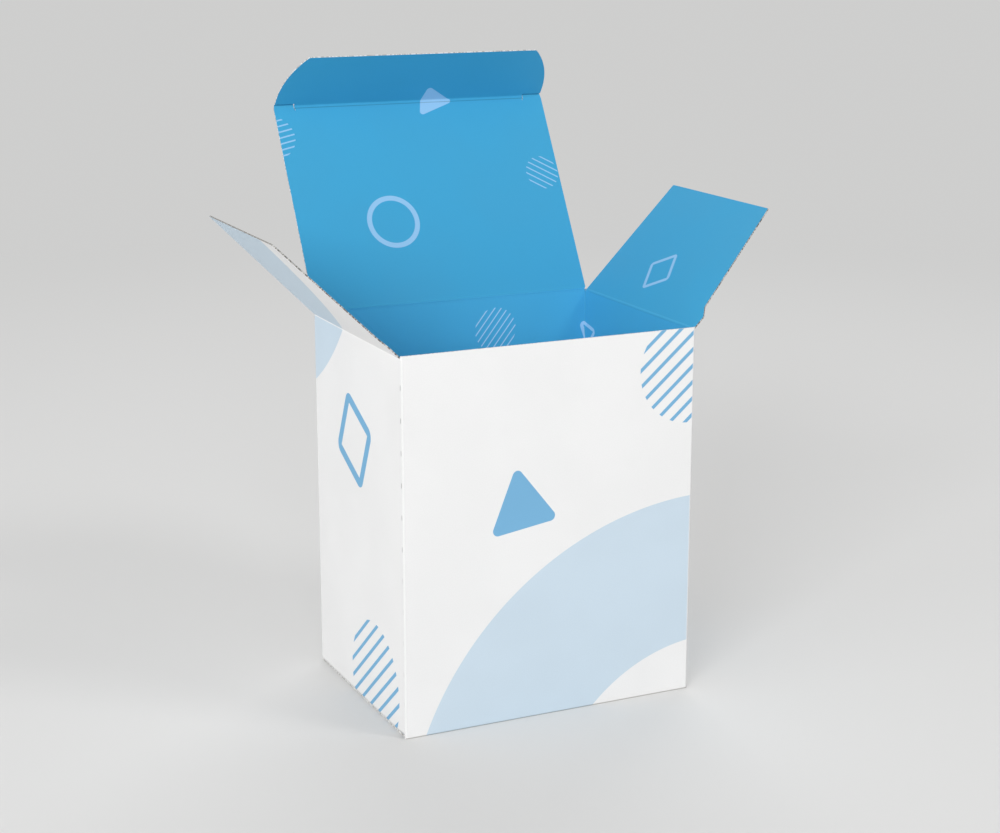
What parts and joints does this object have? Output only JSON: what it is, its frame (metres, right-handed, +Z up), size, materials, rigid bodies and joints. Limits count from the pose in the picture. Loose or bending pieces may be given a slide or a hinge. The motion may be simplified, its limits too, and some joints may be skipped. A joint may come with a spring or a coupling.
{
  "type": "tuck end box",
  "caption": "Folding paperboard carton with a slit-lock tuck lid, dust flaps and a matching tuck base, standing open.",
  "frame": {"origin": "centre of the base, on the plane that the box stands on", "axes": "+Z up, -Y out of the front wall, +X to the right of someone who faces the front wall"},
  "size_m": [0.1682, 0.1117, 0.201],
  "materials": {
    "printed_white_board": "matt coated paperboard, off-white outside",
    "printed_blue_board": "matt coated paperboard, printed blue inside"
  },
  "bodies": {
    "carton": {"carton_body": "printed_white_board"},
    "lid": {"lid_panel": "printed_blue_board"},
    "lid_tuck": {"lid_tuck_flap": "printed_blue_board"},
    "left_flap": {"left_dust_flap": "printed_white_board"},
    "right_flap": {"right_dust_flap": "printed_blue_board"},
    "base": {"base_panel": "printed_white_board"},
    "base_tuck": {"base_tuck_flap": "printed_white_board"}
  },
  "joints": [
    {"name": "lid_hinge", "type": "hinge", "parent": "carton", "child": "lid", "pos_m": [0, 0.03728, 0.12077], "axis": [-1, 0, 0], "range_deg": [-120, 120]},
    {"name": "lid_tuck_fold", "type": "hinge", "parent": "lid", "child": "lid_tuck", "pos_m": [0, 0.07377, 0.18399], "axis": [-1, 0, 0], "range_deg": [-31.2, 31.2]},
    {"name": "left_flap_hinge", "type": "hinge", "parent": "carton", "child": "left_flap", "pos_m": [-0.04977, 0, 0.12012], "axis": [0, -1, 0], "range_deg": [-135, 105]},
    {"name": "right_flap_hinge", "type": "hinge", "parent": "carton", "child": "right_flap", "pos_m": [0.04977, 0, 0.12012], "axis": [0, 1, 0], "range_deg": [-134, 106]},
    {"name": "base_hinge", "type": "hinge", "parent": "carton", "child": "base", "pos_m": [0, 0.03728, 0.00022], "axis": [1, 0, 0], "range_deg": [0, 200]},
    {"name": "base_tuck_fold", "type": "hinge", "parent": "base", "child": "base_tuck", "pos_m": [0, -0.03572, 0.00022], "axis": [1, 0, 0], "range_deg": [0, 52]}
  ],
  "couplings": [
    {"joint": "lid_tuck_fold", "follows": "lid_hinge", "ratio": 0.26},
    {"joint": "base_tuck_fold", "follows": "base_hinge", "ratio": 0.26}
  ]
}
